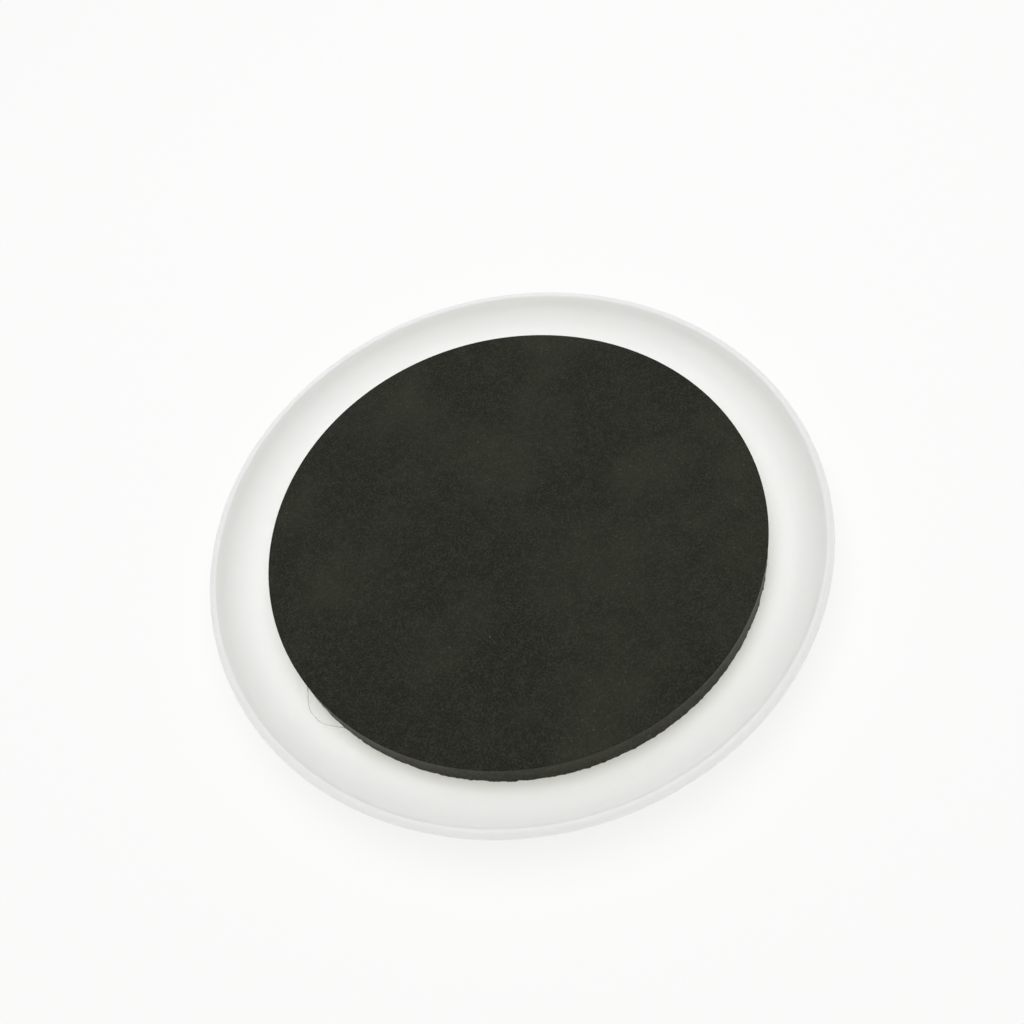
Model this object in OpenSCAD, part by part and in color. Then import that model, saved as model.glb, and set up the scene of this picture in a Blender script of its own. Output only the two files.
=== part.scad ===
// Round furniture slider for carpet: a moulded dish with a foam pad bonded inside its rim.
// Millimetres, +Z up with the pad on top. The origin is the centre of the glide face underneath.

/* [Dish] */
// Diameter across the lip
dish_d = 120; // [90:1:180]
// Depth from the crest of the lip down to the floor of the dish
rim_depth = 7; // [6:0.1:9]
// Thickness of the floor above the flat glide face
floor_t = 2.4; // [1.8:0.1:4]
// Radius of the cove where the floor turns up into the rim
cove_r = 8; // [6:0.1:10]
// Radius of the rounded outer edge of the lip
lip_outer_r = 1.2; // [0.8:0.1:2]
// Radius of the rounded inner edge of the lip
lip_inner_r = 0.5; // [0.2:0.1:1]
// How far the lip stands out from the wall below it
lip_overhang = 0.5; // [0.2:0.1:0.7]

/* [Underside] */
// Radius of the sweep that leads up from the edge of the glide face
sweep_r = 17; // [14:0.1:22]
// Least thickness of the wall, between the sweep and the cove
corner_t = 1.2; // [0.8:0.1:1.6]
// Radius of the shoulder between the sweep and the wall
shoulder_r = 4; // [2:0.1:6]

/* [Foam pad] */
// Thickness of the foam pad
pad_t = 5.6; // [3:0.1:8]
// Bare floor between the edge of the pad and the foot of the cove
pad_margin = 2.2; // [0.5:0.1:6]

/* [Adhesive film] */
// Thickness of the film under the pad
film_t = 0.2; // [0.1:0.05:0.5]
// How far the edge of the film stays back from the edge of the pad
film_inset = 0.4; // [0.2:0.1:2]

/* [Hidden] */
$fn = 96;

dish_colour = "#eff0ec";
film_colour = "#d8d6c8";
pad_colour = "#30312b";

// Lip: the crest is where the inner and the outer rounding meet
crest_z = floor_t + rim_depth;
crest_r = dish_d / 2 - lip_outer_r;
lip_z = crest_z - lip_outer_r;
// Least straight stretch between a rounding of the lip and the arc below it
least_wall = 0.2;
// A height well above the lip, where cuts end
clear_z = 2 * crest_z;

// Shapes that would only touch stand out from each other by a hair, so that they cross in one clean edge
crossing = 0.005;

// Hollow: a mouth, a cove that turns as far as the depth of the mouth lets it, and a flat floor
mouth_r = crest_r - lip_inner_r;
mouth_z = crest_z - lip_inner_r;
cove_rise = min(cove_r, mouth_z - least_wall - floor_t);
cove_run = sqrt(2 * cove_r * cove_rise - cove_rise ^ 2);
floor_r = mouth_r - cove_run + crossing;
cove_z = floor_t + cove_r - crossing;

// Sweep: its middle lies so that the wall between it and the cove is nowhere thinner than asked for
sweep_z = sweep_r - crossing;
sweep_apart = sweep_r - cove_r - corner_t;
sweep_x = floor_r - sqrt(sweep_apart ^ 2 - (sweep_z - cove_z) ^ 2);

// Shoulder: it takes over from the sweep at its heel and ends at the wall below the lip
wall_r = dish_d / 2 - lip_overhang;
shoulder_x = wall_r - shoulder_r;
shoulder_apart = sweep_r - shoulder_r + crossing;
shoulder_drop = sqrt(shoulder_apart ^ 2 - (shoulder_x - sweep_x) ^ 2);
shoulder_z = sweep_z - shoulder_drop;
heel_z = sweep_z - sweep_r * shoulder_drop / shoulder_apart;
wall_z = min(shoulder_z, lip_z - least_wall);

// Pad and film, stuck face to face on the floor
pad_r = floor_r - pad_margin;
film_r = pad_r - film_inset;
film_z = floor_t;
pad_z = film_z + film_t;

// Rectangle of the half section between its lower inner and its upper outer corner
module block(low, high) {
    polygon([low, [high.x, low.y], high, [low.x, high.y]]);
}

// Half section of the underside, from the glide face out to the shoulder and its wall
module underside_section() {
    block([0, 0], [sweep_x, floor_t]);
    intersection() {
        translate([sweep_x, sweep_z]) circle(sweep_r);
        block([0, 0], [dish_d, heel_z]);
    }
    intersection() {
        translate([shoulder_x, shoulder_z]) circle(shoulder_r);
        block([0, 0], [dish_d, wall_z]);
    }
    block([shoulder_x, wall_z], [wall_r, lip_z]);
}

// Half section of the lip, rounded outside and inside up to its crest
module lip_section() {
    intersection() {
        translate([crest_r, lip_z]) circle(lip_outer_r);
        block([crest_r, 0], [dish_d, clear_z]);
    }
    block([floor_r, lip_z - lip_outer_r], [crest_r, mouth_z]);
    intersection() {
        translate([crest_r, mouth_z]) circle(lip_inner_r);
        block([0, mouth_z], [crest_r, clear_z]);
    }
}

// Half section of the corner that the cove leaves between the floor and the mouth
module corner_section() {
    difference() {
        block([floor_r, 0], [dish_d, cove_z]);
        translate([floor_r, cove_z]) circle(cove_r);
    }
}

// Half section of the hollow that holds the pad
module hollow_section() {
    difference() {
        block([0, floor_t], [mouth_r, clear_z]);
        corner_section();
    }
}

module base_dish() {
    color(dish_colour) rotate_extrude() difference() {
        union() {
            underside_section();
            lip_section();
        }
        hollow_section();
    }
}

module adhesive_film() {
    color(film_colour) translate([0, 0, film_z]) cylinder(h = film_t, r = film_r);
}

module foam_pad() {
    color(pad_colour) translate([0, 0, pad_z]) cylinder(h = pad_t, r = pad_r);
}

base_dish();
adhesive_film();
foam_pad();
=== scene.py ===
"""Round carpet slider, dressed over its CAD frame: a moulded dish, a foam pad and the film between them.

Lengths are written in millimetres and turned to metres where a mesh, a pattern or a lamp is made.
"""

import logging
import math
from dataclasses import dataclass
from enum import Enum
from typing import Any, Dict, Optional, Tuple

import bpy
from mathutils import Matrix, Vector


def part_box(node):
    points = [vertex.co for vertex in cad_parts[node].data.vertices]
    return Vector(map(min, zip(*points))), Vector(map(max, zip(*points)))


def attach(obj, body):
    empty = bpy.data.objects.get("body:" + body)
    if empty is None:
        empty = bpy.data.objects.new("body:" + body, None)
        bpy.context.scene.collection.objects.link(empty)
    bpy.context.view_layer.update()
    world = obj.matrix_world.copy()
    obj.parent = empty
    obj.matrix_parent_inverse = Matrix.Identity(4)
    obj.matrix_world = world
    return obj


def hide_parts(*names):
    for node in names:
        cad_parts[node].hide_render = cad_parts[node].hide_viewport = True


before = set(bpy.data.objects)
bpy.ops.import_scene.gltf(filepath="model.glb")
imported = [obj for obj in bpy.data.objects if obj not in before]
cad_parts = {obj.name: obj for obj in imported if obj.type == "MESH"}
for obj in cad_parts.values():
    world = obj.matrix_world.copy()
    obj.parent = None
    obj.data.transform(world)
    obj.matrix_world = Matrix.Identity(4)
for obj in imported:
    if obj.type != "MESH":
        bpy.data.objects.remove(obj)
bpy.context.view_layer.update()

LOG = logging.getLogger("slider")
MM = 0.001
BODY = "root"

# Sockets of a Mix node that mixes colours
MIX_SHARE = 0
MIX_FROM = 6
MIX_TO = 7
MIX_RESULT = 2

# A noise pattern keeps mostly between these two values
NOISE_LOW = 0.3
NOISE_HIGH = 0.7

Point = Tuple[float, float]
Triple = Tuple[float, float, float]
Colour = Tuple[float, float, float, float]


class Node(Enum):
    """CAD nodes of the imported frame."""

    DISH = "base_dish"
    FILM = "adhesive_film"
    PAD = "foam_pad"


class Slot(Enum):
    """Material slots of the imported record."""

    PLASTIC = "dish_plastic"
    ADHESIVE = "adhesive"
    FOAM = "pad_foam"


def linear(code: str) -> Colour:
    """Turns an sRGB hex colour into the linear colour that a shader reads.

    Args:
        code: Colour as six hex digits after a hash sign.

    Returns:
        Linear red, green and blue with an alpha of one.
    """
    shares = [int(code[place:place + 2], 16) / 255 for place in (1, 3, 5)]
    red, green, blue = (
        share / 12.92 if share <= 0.04045 else ((share + 0.055) / 1.055) ** 2.4 for share in shares
    )
    return red, green, blue, 1.0


def per_size(size_mm: float) -> float:
    """Gives the scale of a pattern on Object coordinates from the size of one of its features."""
    return 1 / (size_mm * MM)


def add_node(tree: bpy.types.NodeTree, kind: str, inputs: Dict[Any, Any], **settings: Any) -> bpy.types.Node:
    """Adds a node with its settings, its values and its links.

    Args:
        tree: Node tree that gets the node.
        kind: Type of the node.
        inputs: Values, or output sockets to link from, by the name or place of the input socket.
        **settings: Attributes of the node.

    Returns:
        The new node.
    """
    node = tree.nodes.new(kind)
    for name, value in settings.items():
        setattr(node, name, value)
    for socket, value in inputs.items():
        if isinstance(value, bpy.types.NodeSocket):
            tree.links.new(value, node.inputs[socket])
        else:
            node.inputs[socket].default_value = value
    return node


def new_material(name: str) -> Tuple[bpy.types.Material, bpy.types.NodeTree]:
    """Makes an empty node material.

    Args:
        name: Name of the material.

    Returns:
        The material and its node tree.
    """
    material = bpy.data.materials.new(name)
    material.use_nodes = True
    material.node_tree.nodes.clear()
    return material, material.node_tree


@dataclass(frozen=True)
class MouldedPolyethylene:
    """White polyethylene, injection moulded in a polished tool.

    To the eye it is a milky off-white with a soft gloss. Light passes through the thin wall and evens out
    the shade, the gloss is broken by slow waves from shrinkage, and the tool leaves a very fine grain.
    """

    body: str = "#f4f5ee"
    thick: str = "#f2f3e9"
    ior: float = 1.54
    gloss: float = 0.3
    dull: float = 0.38
    wave_mm: float = 16.0
    wave_depth_mm: float = 0.01
    # The real grain is under a tenth of a millimetre, so it is drawn coarser to show
    grain_mm: float = 0.7
    grain_depth_mm: float = 0.0012
    scatter_mm: float = 12.0
    # How far red, green and blue light go in the plastic, as shares of the scatter length
    scatter_shares: Triple = (1.0, 0.97, 0.86)

    def material(self) -> bpy.types.Material:
        """Builds the node material.

        Returns:
            The material.
        """
        material, tree = new_material("moulded_polyethylene")
        place = add_node(tree, "ShaderNodeTexCoord", {}).outputs["Object"]
        waves = add_node(tree, "ShaderNodeTexNoise", {
            "Vector": place, "Scale": per_size(self.wave_mm), "Detail": 2.0}).outputs["Fac"]
        grain = add_node(tree, "ShaderNodeTexNoise", {
            "Vector": place, "Scale": per_size(self.grain_mm), "Detail": 3.0}).outputs["Fac"]
        tint = add_node(tree, "ShaderNodeMix", {
            MIX_SHARE: waves, MIX_FROM: linear(self.body), MIX_TO: linear(self.thick)},
            data_type="RGBA").outputs[MIX_RESULT]
        rough = add_node(tree, "ShaderNodeMapRange", {
            "Value": waves, "From Min": NOISE_LOW, "From Max": NOISE_HIGH,
            "To Min": self.gloss, "To Max": self.dull})
        swell = add_node(tree, "ShaderNodeBump", {
            "Height": waves, "Strength": 1.0, "Distance": self.wave_depth_mm * MM})
        relief = add_node(tree, "ShaderNodeBump", {
            "Height": grain, "Strength": 1.0, "Distance": self.grain_depth_mm * MM,
            "Normal": swell.outputs[0]})
        shader = add_node(tree, "ShaderNodeBsdfPrincipled", {
            "Base Color": tint, "Roughness": rough.outputs[0], "Normal": relief.outputs[0], "IOR": self.ior,
            "Subsurface Weight": 1.0, "Subsurface Scale": self.scatter_mm * MM,
            "Subsurface Radius": self.scatter_shares})
        add_node(tree, "ShaderNodeOutputMaterial", {"Surface": shader.outputs[0]})
        return material


@dataclass(frozen=True)
class CutFoam:
    """Black closed-cell foam, split from a block and die cut.

    To the eye it is a matte charcoal: cut cells make a fine dark and light speckle with lighter flecks in
    patches, the sheet is slightly mottled, its torn cell walls catch light at a low angle, and a few specks
    of dust cling to it. The cell hollows carry painted shade and the die-cut side carries painted light.
    """

    # The foam's darkest tone, which also carries painted shade in the cell hollows
    shaded_pit: str = "#191a13"
    skin: str = "#303128"
    cloud: str = "#37382e"
    fleck: str = "#5f6054"
    # Painted light: the die-cut side is drawn lighter than the top, as light reflected onto it makes it look
    side: str = "#3e3e34"
    dust: str = "#8f8d80"
    ior: float = 1.49
    roughness: float = 0.7
    specular: float = 0.1
    sheen: float = 0.15
    sheen_roughness: float = 0.3
    sheen_tint: str = "#fffdf2"
    # The real cells are about 0.2 mm across, so they are drawn coarser to show
    cell_mm: float = 0.42
    fine_mm: float = 0.24
    cell_depth_mm: float = 0.05
    # Heights at which a cell is a hollow, in the foam's darkest tone with painted shade, and at which it is
    # skin
    cell_heights: Point = (0.1, 0.45)
    # Cells are open in some clumps and closed in others: least and most gain of their tone
    clump_mm: float = 1.3
    clump_gains: Point = (0.6, 1.4)
    mottle_mm: float = 14.0
    mottle_values: Point = (0.45, 0.75)
    mottle_share: float = 0.5
    fleck_spacing_mm: float = 1.5
    fleck_mm: float = 0.16
    dust_spacing_mm: float = 8.0
    dust_mm: float = 0.14
    # Depths below the top at which the painted light on the die-cut side is full and at which it ends
    lit_side_depths_mm: Point = (0.4, 0.1)

    @staticmethod
    def dots(tree: bpy.types.NodeTree, place: bpy.types.NodeSocket, spacing_mm: float,
             size_mm: float) -> bpy.types.NodeSocket:
        """Scatters dots over the foam.

        Args:
            tree: Node tree of the foam.
            place: Coordinates that the dots lie on.
            spacing_mm: Mean distance between two dots.
            size_mm: Radius of a dot.

        Returns:
            A socket that is one on a dot and zero between the dots.
        """
        away = add_node(tree, "ShaderNodeTexVoronoi", {
            "Vector": place, "Scale": per_size(spacing_mm)}).outputs["Distance"]
        return add_node(tree, "ShaderNodeMath", {
            0: away, 1: size_mm / spacing_mm}, operation="LESS_THAN").outputs[0]

    def cut_cells(self, tree: bpy.types.NodeTree, place: bpy.types.NodeSocket) -> bpy.types.NodeSocket:
        """Draws the cut cells, each with a fine uneven wall.

        Args:
            tree: Node tree of the foam.
            place: Coordinates that the cells lie on.

        Returns:
            Height of the surface, as a share of the depth of a cell.
        """
        cells = add_node(tree, "ShaderNodeTexVoronoi", {
            "Vector": place, "Scale": per_size(self.cell_mm)}).outputs["Distance"]
        fine = add_node(tree, "ShaderNodeTexNoise", {
            "Vector": place, "Scale": per_size(self.fine_mm), "Detail": 2.0}).outputs["Fac"]
        return add_node(tree, "ShaderNodeMath", {0: cells, 1: fine}, operation="MULTIPLY").outputs[0]

    def speckle(self, tree: bpy.types.NodeTree, place: bpy.types.NodeSocket, height: bpy.types.NodeSocket,
                top_mm: float) -> bpy.types.NodeSocket:
        """Colours the cells from their height, with painted shade in the hollows and painted light
        on the die-cut side.

        Args:
            tree: Node tree of the foam.
            place: Coordinates that the cells lie on.
            height: Height of the surface.
            top_mm: Height of the pad's flat top.

        Returns:
            The colour of the cells.
        """
        clumps = add_node(tree, "ShaderNodeTexNoise", {
            "Vector": place, "Scale": per_size(self.clump_mm), "Detail": 1.0}).outputs["Fac"]
        # Painted shade: the lower the surface of a cell, the nearer it comes to the darkest tone
        unshaded_share = add_node(tree, "ShaderNodeMapRange", {
            "Value": height, "From Min": self.cell_heights[0], "From Max": self.cell_heights[1]}).outputs[0]
        gain = add_node(tree, "ShaderNodeMapRange", {
            "Value": clumps, "From Min": NOISE_LOW, "From Max": NOISE_HIGH,
            "To Min": self.clump_gains[0], "To Max": self.clump_gains[1]}).outputs[0]
        tone = add_node(tree, "ShaderNodeMath", {0: unshaded_share, 1: gain}, operation="MULTIPLY").outputs[0]
        # Painted light: below the top, the die-cut side is mixed towards a lighter colour
        rise = add_node(tree, "ShaderNodeSeparateXYZ", {"Vector": place}).outputs["Z"]
        full, end = ((top_mm - depth) * MM for depth in self.lit_side_depths_mm)
        cut = add_node(tree, "ShaderNodeMapRange", {
            "Value": rise, "From Min": full, "From Max": end, "To Min": 1.0, "To Max": 0.0}).outputs[0]
        lit_side_colour = add_node(tree, "ShaderNodeMix", {
            MIX_SHARE: cut, MIX_FROM: linear(self.skin), MIX_TO: linear(self.side)},
            data_type="RGBA").outputs[MIX_RESULT]
        return add_node(tree, "ShaderNodeMix", {
            MIX_SHARE: tone, MIX_FROM: linear(self.shaded_pit), MIX_TO: lit_side_colour}, data_type="RGBA").outputs[MIX_RESULT]

    def scatter_specks(self, tree: bpy.types.NodeTree, place: bpy.types.NodeSocket,
                       cells: bpy.types.NodeSocket) -> bpy.types.NodeSocket:
        """Lays clouds, flecks and dust over the colour of the cells.

        Args:
            tree: Node tree of the foam.
            place: Coordinates that the specks lie on.
            cells: The colour of the cells.

        Returns:
            The colour of the foam.
        """
        mottle = add_node(tree, "ShaderNodeTexNoise", {
            "Vector": place, "Scale": per_size(self.mottle_mm), "Detail": 4.0}).outputs["Fac"]
        clouding = add_node(tree, "ShaderNodeMapRange", {
            "Value": mottle, "From Min": self.mottle_values[0], "From Max": self.mottle_values[1],
            "To Max": self.mottle_share}).outputs[0]
        sheet = add_node(tree, "ShaderNodeMix", {
            MIX_SHARE: clouding, MIX_FROM: cells, MIX_TO: linear(self.cloud)},
            data_type="RGBA").outputs[MIX_RESULT]
        flecks = add_node(tree, "ShaderNodeMath", {
            0: self.dots(tree, place, self.fleck_spacing_mm, self.fleck_mm), 1: clouding},
            operation="MULTIPLY").outputs[0]
        flecked = add_node(tree, "ShaderNodeMix", {
            MIX_SHARE: flecks, MIX_FROM: sheet, MIX_TO: linear(self.fleck)},
            data_type="RGBA").outputs[MIX_RESULT]
        specks = self.dots(tree, place, self.dust_spacing_mm, self.dust_mm)
        return add_node(tree, "ShaderNodeMix", {
            MIX_SHARE: specks, MIX_FROM: flecked, MIX_TO: linear(self.dust)},
            data_type="RGBA").outputs[MIX_RESULT]

    def material(self, top_mm: float) -> bpy.types.Material:
        """Builds the node material.

        Args:
            top_mm: Height of the pad's flat top, below which the painted light on the die-cut side begins.

        Returns:
            The material.
        """
        material, tree = new_material("cut_foam")
        place = add_node(tree, "ShaderNodeTexCoord", {}).outputs["Object"]
        height = self.cut_cells(tree, place)
        colour = self.scatter_specks(tree, place, self.speckle(tree, place, height, top_mm))
        relief = add_node(tree, "ShaderNodeBump", {
            "Height": height, "Strength": 1.0, "Distance": self.cell_depth_mm * MM}).outputs[0]
        shader = add_node(tree, "ShaderNodeBsdfPrincipled", {
            "Base Color": colour, "Normal": relief, "Roughness": self.roughness, "IOR": self.ior,
            "Specular IOR Level": self.specular, "Sheen Weight": self.sheen,
            "Sheen Roughness": self.sheen_roughness, "Sheen Tint": linear(self.sheen_tint)})
        add_node(tree, "ShaderNodeOutputMaterial", {"Surface": shader.outputs[0]})
        return material


@dataclass(frozen=True)
class TransferAdhesive:
    """Transfer film of acrylic adhesive, cast and die cut.

    To the eye it is a clear film that takes the colour of what it lies on. Its edge shows a thin dark
    line, which is painted shade.
    """

    film: str = "#f3f4ec"
    # Painted shade: the thin dark line along the film's edge
    edge: str = "#a9a89a"
    film_cover: float = 0.02
    edge_cover: float = 0.3
    ior: float = 1.47
    gloss: float = 0.2
    dull: float = 0.45
    ripple_mm: float = 1.6
    ripple_depth_mm: float = 0.02

    def material(self, edge_layer: str) -> bpy.types.Material:
        """Builds the node material.

        Args:
            edge_layer: Name of the attribute that is one along the bare edge.

        Returns:
            The material.
        """
        material, tree = new_material("transfer_adhesive")
        place = add_node(tree, "ShaderNodeTexCoord", {}).outputs["Object"]
        darkened = add_node(tree, "ShaderNodeAttribute", {}, attribute_name=edge_layer).outputs["Fac"]
        ripple = add_node(tree, "ShaderNodeTexNoise", {
            "Vector": place, "Scale": per_size(self.ripple_mm), "Detail": 2.0}).outputs["Fac"]
        # Painted shade: the edge band is mixed towards the darker edge colour
        colour = add_node(tree, "ShaderNodeMix", {
            MIX_SHARE: darkened, MIX_FROM: linear(self.film), MIX_TO: linear(self.edge)},
            data_type="RGBA").outputs[MIX_RESULT]
        cover = add_node(tree, "ShaderNodeMapRange", {
            "Value": darkened, "To Min": self.film_cover, "To Max": self.edge_cover}).outputs[0]
        rough = add_node(tree, "ShaderNodeMapRange", {
            "Value": ripple, "To Min": self.gloss, "To Max": self.dull}).outputs[0]
        relief = add_node(tree, "ShaderNodeBump", {
            "Height": ripple, "Strength": 1.0, "Distance": self.ripple_depth_mm * MM}).outputs[0]
        shader = add_node(tree, "ShaderNodeBsdfPrincipled", {
            "Base Color": colour, "Alpha": cover, "Roughness": rough, "Normal": relief, "IOR": self.ior})
        add_node(tree, "ShaderNodeOutputMaterial", {"Surface": shader.outputs[0]})
        return material


class Lathe:
    """Draws a half section in edit mode, vertex by vertex, and spins it into a closed body."""

    # Points that lie closer than this are merged
    merge_mm: float = 0.002
    # Edges that turn by more degrees than this stay sharp
    crease: float = 50.0

    def __init__(self, name: str, start: Point) -> None:
        """Starts the section with one vertex.

        Args:
            name: Name of the piece.
            start: Radius and height of the first point.
        """
        bpy.ops.object.select_all(action="DESELECT")
        bpy.ops.mesh.primitive_plane_add(size=MM)
        self.piece: bpy.types.Object = bpy.context.active_object
        self.piece.name = name
        self.piece.data.name = name
        self.pen = Vector(start)
        bpy.ops.object.mode_set(mode="EDIT")
        bpy.ops.mesh.select_mode(type="VERT")
        bpy.ops.mesh.merge(type="CENTER")
        bpy.ops.transform.translate(value=self.place(start))

    @staticmethod
    def place(point: Point) -> Triple:
        """Puts a point of the section into the piece's frame."""
        return point[0] * MM, 0.0, point[1] * MM

    def line(self, end: Point, cuts: int = 1) -> None:
        """Extrudes a straight run.

        Args:
            end: Radius and height of its last point.
            cuts: How many edges it is made of.
        """
        step = (Vector(end) - self.pen) / cuts
        for _ in range(cuts):
            bpy.ops.mesh.extrude_region_move(TRANSFORM_OT_translate={"value": self.place(step)})
        self.pen = Vector(end)

    def arc(self, centre: Point, sweep: float, cuts: int) -> None:
        """Spins the last point about a centre in the plane of the section.

        Args:
            centre: Radius and height of the centre.
            sweep: Angle in radians, positive from the radius towards the height.
            cuts: How many edges the arc is made of.
        """
        bpy.ops.mesh.spin(steps=cuts, angle=sweep, center=self.place(centre), axis=(0, 1, 0))
        arm = self.pen - Vector(centre)
        self.pen = Vector(centre) + Matrix.Rotation(sweep, 2) @ arm

    def spin(self, segments: int) -> bpy.types.Object:
        """Spins the section about the height axis and closes seam and poles.

        Args:
            segments: How many steps a full turn has.

        Returns:
            The closed piece, smooth shaded.
        """
        bpy.ops.mesh.select_all(action="SELECT")
        bpy.ops.mesh.spin(steps=segments, angle=math.tau, center=(0, 0, 0), axis=(0, 0, 1))
        bpy.ops.mesh.select_all(action="SELECT")
        bpy.ops.mesh.remove_doubles(threshold=MM * self.merge_mm)
        bpy.ops.mesh.normals_make_consistent(inside=False)
        bpy.ops.object.mode_set(mode="OBJECT")
        bpy.ops.object.shade_smooth_by_angle(angle=math.radians(self.crease))
        return self.piece


def bearing(start: Point, end: Point) -> float:
    """Gives the angle in radians at which one point of a section sees another."""
    return math.atan2(end[1] - start[1], end[0] - start[0])


def across(reach: float, rise: float) -> float:
    """Gives the other side of a right triangle from its longest side and one side."""
    return math.sqrt(reach ** 2 - rise ** 2)


def touching_centre(first: Point, first_reach: float, second: Point, second_reach: float) -> Point:
    """Finds the lower point that lies at given distances from two centres.

    Args:
        first: The inner centre.
        first_reach: Distance from it.
        second: The outer centre.
        second_reach: Distance from it.

    Returns:
        Radius and height of the point.
    """
    gap = math.dist(first, second)
    along = (first_reach ** 2 - second_reach ** 2 + gap ** 2) / (2 * gap)
    aside = math.sqrt(first_reach ** 2 - along ** 2)
    heading = bearing(first, second)
    return (
        first[0] + along * math.cos(heading) + aside * math.sin(heading),
        first[1] + along * math.sin(heading) - aside * math.cos(heading),
    )


def add_piece(piece: bpy.types.Object, node: Node, material: bpy.types.Material) -> None:
    """Dresses a finished piece and hangs it on the frame in place of its CAD node.

    Args:
        piece: The finished piece.
        node: CAD node that it stands for.
        material: Its finish.
    """
    piece.data.materials.clear()
    piece.data.materials.append(material)
    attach(piece, BODY)
    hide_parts(node.value)
    LOG.info("%s: %d faces, stands for %s", piece.name, len(piece.data.polygons), node.value)


@dataclass
class Dish:
    """The moulded dish, from the centre of its glide face round the lip to the middle of its floor."""

    finish: MouldedPolyethylene
    lip_outer: float = 1.2
    lip_inner: float = 0.5
    lip_root: float = 0.4
    wall_inset: float = 0.5
    shoulder: float = 4.0
    sweep: float = 17.0
    corner: float = 1.2
    cove: float = 8.0
    segments: int = 320

    def build(self) -> bpy.types.Object:
        """Draws the section of the dish, every arc running smoothly into the next, and spins it.

        Returns:
            The dish.
        """
        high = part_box(Node.DISH.value)[1] / MM
        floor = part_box(Node.FILM.value)[0].z / MM
        lip = (high.x - self.lip_outer, high.z - self.lip_outer)
        brim = (lip[0], high.z - self.lip_inner)
        turn_z = floor + self.cove
        turn = (brim[0] - across(self.cove + self.lip_inner, turn_z - brim[1]), turn_z)
        bowl = (turn[0] - across(self.sweep - self.cove - self.corner, self.sweep - turn_z), self.sweep)
        heel_x = high.x - self.wall_inset - self.shoulder
        heel = (heel_x, bowl[1] - across(self.sweep - self.shoulder, heel_x - bowl[0]))
        root = touching_centre(heel, self.shoulder + self.lip_root, lip, self.lip_outer + self.lip_root)

        lathe = Lathe("slider_dish", (0.0, 0.0))
        lathe.line((bowl[0], 0.0), cuts=8)
        lathe.arc(bowl, bearing(bowl, heel) + math.pi / 2, cuts=20)
        lathe.arc(heel, bearing(heel, root) - bearing(bowl, heel), cuts=14)
        lathe.arc(root, bearing(root, lip) - bearing(root, heel), cuts=5)
        lathe.arc(lip, math.pi / 2 - bearing(lip, root), cuts=18)
        lathe.arc(brim, bearing(brim, turn) - math.pi / 2, cuts=10)
        lathe.arc(turn, -math.pi / 2 - bearing(turn, brim), cuts=28)
        lathe.line((0.0, floor), cuts=10)
        return lathe.spin(self.segments)

    def dress(self, piece: bpy.types.Object) -> None:
        """Gives the dish its finish and its place on the frame."""
        add_piece(piece, Node.DISH, self.finish.material())


@dataclass
class FoamPad:
    """The die-cut foam pad, with a soft upper edge, a waisted side and a ragged lower edge."""

    finish: CutFoam
    edge: float = 0.15
    waist: float = 0.1
    segments: int = 960
    rings: int = 40
    swell_mm: float = 13.0
    swell_depth_mm: float = 0.16
    swell_fade_mm: float = 3.0
    tear_mm: float = 0.8
    tear_depth_mm: float = 0.45
    tear_height_mm: float = 0.9
    # Points this close to the pad's radius belong to its side
    side_skin_mm: float = 0.5
    octaves: int = 2

    def build(self) -> bpy.types.Object:
        """Draws the section of the pad, spins it and roughens it where the die and the knife went.

        Returns:
            The pad.
        """
        low, high = (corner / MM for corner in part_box(Node.PAD.value))
        radius = high.x
        shoulder = high.z - self.edge
        chord = shoulder - low.z
        bend = chord ** 2 / (8 * self.waist) + self.waist / 2
        middle = (radius - self.waist + bend, (shoulder + low.z) / 2)
        sweep = 2 * math.asin(chord / (2 * bend))

        lathe = Lathe("grip_pad", (0.0, low.z))
        lathe.line((radius, low.z), cuts=6)
        lathe.arc(middle, -sweep, cuts=12)
        lathe.arc((radius - self.edge, shoulder), math.pi / 2, cuts=5)
        lathe.line((0.0, high.z), cuts=self.rings)
        piece = lathe.spin(self.segments)
        self.roughen(piece, "swell", self.swell_mm, self.swell_depth_mm, "Z", high.z - self.edge)
        self.roughen(piece, "tear", self.tear_mm, self.tear_depth_mm, "NORMAL", None)
        return piece

    def roughen(self, piece: bpy.types.Object, name: str, size_mm: float, depth_mm: float, direction: str,
                floor_mm: Optional[float]) -> None:
        """Displaces part of the pad by a cloud pattern.

        Args:
            piece: The pad.
            name: Name of the pattern.
            size_mm: Size of its features.
            depth_mm: Its depth from lowest to highest.
            direction: Direction of the displacement.
            floor_mm: Height above which the top moves, or none where the lower edge of the side moves.
        """
        low, high = (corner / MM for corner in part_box(Node.PAD.value))
        group = piece.vertex_groups.new(name=name)
        for vertex in piece.data.vertices:
            spot = vertex.co / MM
            reach = math.hypot(spot.x, spot.y)
            if floor_mm is not None:
                moves = spot.z > floor_mm
                weight = min(max((high.x - reach) / self.swell_fade_mm, 0.0), 1.0)
            else:
                moves = reach > high.x - self.side_skin_mm
                weight = max(0.0, 1 - (spot.z - low.z) / self.tear_height_mm)
            if moves and weight > 0:
                group.add([vertex.index], weight, "REPLACE")
        pattern = bpy.data.textures.new(name, type="CLOUDS")
        pattern.noise_scale = size_mm * MM
        pattern.noise_depth = self.octaves
        displace = piece.modifiers.new(name, "DISPLACE")
        displace.texture = pattern
        displace.texture_coords = "LOCAL"
        displace.direction = direction
        displace.strength = depth_mm * MM
        displace.vertex_group = name
        bpy.context.view_layer.objects.active = piece
        bpy.ops.object.modifier_apply(modifier=name)

    def dress(self, piece: bpy.types.Object) -> None:
        """Args:
            piece: The pad.
        """
        top_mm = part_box(Node.PAD.value)[1].z / MM
        add_piece(piece, Node.PAD, self.finish.material(top_mm))


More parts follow.
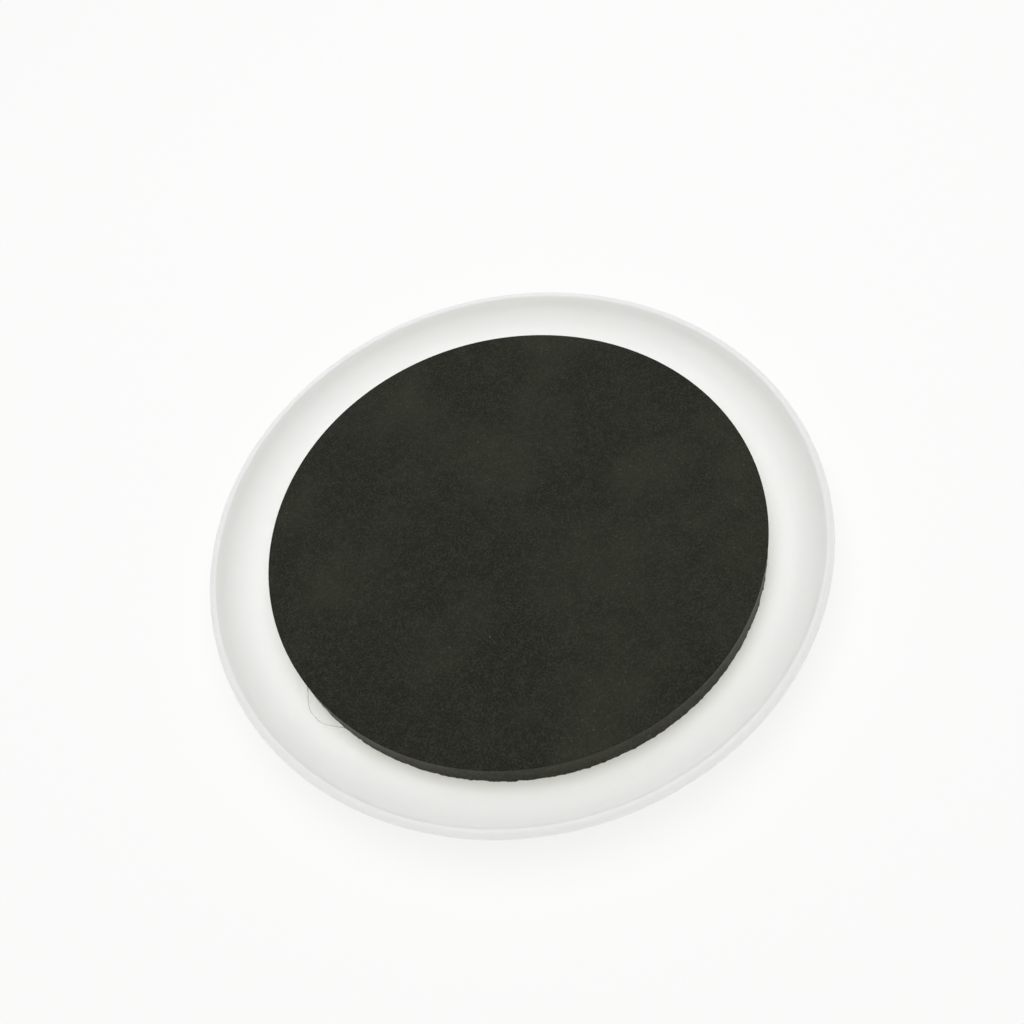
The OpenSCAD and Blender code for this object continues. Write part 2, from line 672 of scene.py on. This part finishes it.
@dataclass
class BondingFilm:
    """The adhesive film under the pad, with the flap that shows past the pad's edge."""

    finish: TransferAdhesive
    flap_bearing: float = 207.5
    flap_reach: float = 50.7
    flap_spread: float = 7.0
    flap_grip: float = 1.0
    edge_width: float = 0.3
    # The film clears the floor by a hair, so that their faces don't coincide
    lift: float = 0.01
    segments: int = 540
    rings: int = 12
    edge_layer: str = "bare_edge"

    def build(self) -> bpy.types.Object:
        """Draws the section of the film, spins it, marks its edge and pulls out the flap.

        Returns:
            The film.
        """
        low, high = (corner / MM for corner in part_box(Node.FILM.value))
        under = low.z + self.lift
        inner = high.x - self.edge_width
        lathe = Lathe("bonding_film", (0.0, under))
        lathe.line((inner, under), cuts=self.rings)
        lathe.line((high.x, under))
        lathe.line((high.x, high.z))
        lathe.line((inner, high.z))
        lathe.line((0.0, high.z), cuts=self.rings)
        piece = lathe.spin(self.segments)
        self.mark_edge(piece, high.x)
        self.pull_flap(piece, high.x)
        return piece

    def pull_flap(self, piece: bpy.types.Object, radius: float) -> None:
        """Pulls the film's edge out on one side with a soft falloff.

        Args:
            piece: The film.
            radius: Its radius.
        """
        angle = math.radians(self.flap_bearing)
        out = Vector((math.cos(angle), math.sin(angle), 0.0))
        tip = out * radius * MM
        bpy.ops.object.mode_set(mode="EDIT")
        bpy.ops.mesh.select_all(action="DESELECT")
        bpy.ops.object.mode_set(mode="OBJECT")
        for vertex in piece.data.vertices:
            flat = Vector((vertex.co.x, vertex.co.y, 0.0))
            vertex.select = (flat - tip).length < self.flap_grip * MM
        bpy.ops.object.mode_set(mode="EDIT")
        bpy.ops.transform.translate(
            value=out * (self.flap_reach - radius) * MM, use_proportional_edit=True,
            proportional_edit_falloff="SMOOTH", proportional_size=self.flap_spread * MM)
        bpy.ops.object.mode_set(mode="OBJECT")

    def mark_edge(self, piece: bpy.types.Object, radius: float) -> None:
        """Writes the attribute that the finish reads along the bare edge.

        Args:
            piece: The film, still round.
            radius: Its radius.
        """
        layer = piece.data.attributes.new(self.edge_layer, "FLOAT", "POINT")
        for vertex in piece.data.vertices:
            reach = math.hypot(vertex.co.x, vertex.co.y) / MM
            layer.data[vertex.index].value = 1.0 if reach > radius - self.edge_width / 2 else 0.0

    def dress(self, piece: bpy.types.Object) -> None:
        """Gives the film its finish and its place on the frame."""
        add_piece(piece, Node.FILM, self.finish.material(self.edge_layer))


@dataclass(frozen=True)
class PhotoCamera:
    """The photograph's viewpoint, found from the outlines of the lip and the pad."""

    distance_mm: float = 215.2
    elevation: float = 57.067
    roll: float = -16.592
    aim_mm: Point = (1.052, 3.266)
    target_mm: float = 8.2
    lens_mm: float = 39.39
    sensor_mm: float = 36.0
    clip_mm: float = 5.0

    def build(self) -> None:
        """Adds the camera and makes it the scene's own."""
        rise = math.radians(self.elevation)
        target = Vector((0.0, 0.0, self.target_mm))
        spot = target + self.distance_mm * Vector((0.0, -math.cos(rise), math.sin(rise)))
        aim = target + Vector((self.aim_mm[0], self.aim_mm[1], 0.0))
        bpy.ops.object.camera_add(location=spot * MM)
        camera = bpy.context.active_object
        camera.name = "photo_camera"
        turn = (aim - spot).to_track_quat("-Z", "Y").to_matrix()
        camera.rotation_euler = (turn @ Matrix.Rotation(math.radians(self.roll), 3, "Z")).to_euler()
        camera.data.sensor_fit = "HORIZONTAL"
        camera.data.sensor_width = self.sensor_mm
        camera.data.lens = self.lens_mm
        camera.data.clip_start = self.clip_mm * MM
        bpy.context.scene.camera = camera


@dataclass(frozen=True)
class Studio:
    """A white floor, an even pale surround and one large softbox overhead."""

    surround: float = 0.48
    box_reach_mm: float = 600.0
    box_side_mm: float = 700.0
    box_watts: float = 2.25
    box_lean: Triple = (0.04, 0.16, 0.985)
    floor_side_mm: float = 4000.0
    floor_colour: str = "#fdfdfc"
    # How much of the shadow on the floor shows
    shadow_share: float = 0.32
    # Share of an unshaded white floor in the light that the floor gives the object
    back_light: float = 0.68

    @staticmethod
    def shown_rays(tree: bpy.types.NodeTree) -> bpy.types.NodeSocket:
        """Tells the rays that show the surround itself from those that only light the object.

        Args:
            tree: Node tree that gets the nodes.

        Returns:
            A socket that is one for camera, glossy and transmission rays and zero for the others.
        """
        rays = add_node(tree, "ShaderNodeLightPath", {}).outputs
        mirrored = add_node(tree, "ShaderNodeMath", {
            0: rays["Is Camera Ray"], 1: rays["Is Glossy Ray"]}, operation="MAXIMUM").outputs[0]
        return add_node(tree, "ShaderNodeMath", {
            0: mirrored, 1: rays["Is Transmission Ray"]}, operation="MAXIMUM").outputs[0]

    def build(self) -> None:
        """Adds the surround, the softbox and the floor, and sets the plain view transform."""
        scene = bpy.context.scene
        scene.view_settings.view_transform = "Standard"
        self.add_surround(scene)
        self.add_softbox()
        self.add_floor()

    def add_surround(self, scene: bpy.types.Scene) -> None:
        """Makes the world white to the eye and an even fill light to the object.

        Args:
            scene: The scene that gets the world.
        """
        world = bpy.data.worlds.new("pale_surround")
        world.use_nodes = True
        tree = world.node_tree
        tree.nodes.clear()
        level = add_node(tree, "ShaderNodeMapRange", {
            "Value": self.shown_rays(tree), "To Min": self.surround, "To Max": 1.0}).outputs[0]
        glow = add_node(tree, "ShaderNodeBackground", {"Color": linear("#ffffff"), "Strength": level})
        add_node(tree, "ShaderNodeOutputWorld", {"Surface": glow.outputs[0]})
        scene.world = world

    def add_softbox(self) -> None:
        """Hangs the softbox over the object, leaning as the photograph's light does."""
        lean = Vector(self.box_lean).normalized()
        bpy.ops.object.light_add(type="AREA", location=lean * self.box_reach_mm * MM)
        lamp = bpy.context.active_object
        lamp.name = "softbox"
        lamp.rotation_euler = lean.to_track_quat("Z", "Y").to_euler()
        lamp.data.shape = "SQUARE"
        lamp.data.size = self.box_side_mm * MM
        lamp.data.energy = self.box_watts

    def add_floor(self) -> None:
        """Lays the white floor.

        To the eye it stays nearly white round a faint shadow. To the object it gives back a good part of the
        light of an unshaded white floor, so that light comes through the thin translucent rim from behind.
        """
        bpy.ops.object.select_all(action="DESELECT")
        bpy.ops.mesh.primitive_plane_add(size=self.floor_side_mm * MM)
        floor = bpy.context.active_object
        floor.name = "studio_floor"
        material, tree = new_material("studio_floor")
        share = add_node(tree, "ShaderNodeMapRange", {
            "Value": self.shown_rays(tree), "To Min": self.back_light, "To Max": 1 - self.shadow_share})
        paint = add_node(tree, "ShaderNodeBsdfDiffuse", {"Color": linear(self.floor_colour)})
        white = add_node(tree, "ShaderNodeEmission", {"Color": linear("#ffffff"), "Strength": 1.0})
        mixed = add_node(tree, "ShaderNodeMixShader", {
            0: share.outputs[0], 1: paint.outputs[0], 2: white.outputs[0]})
        add_node(tree, "ShaderNodeOutputMaterial", {"Surface": mixed.outputs[0]})
        floor.data.materials.append(material)


def main() -> None:
    """Builds the stage and the pieces in order."""
    logging.basicConfig(level=logging.INFO, format="%(name)s: %(message)s")
    PhotoCamera().build()
    Studio().build()
    for part in (Dish(MouldedPolyethylene()), BondingFilm(TransferAdhesive()), FoamPad(CutFoam())):
        part.dress(part.build())


if __name__ == "__main__":
    main()
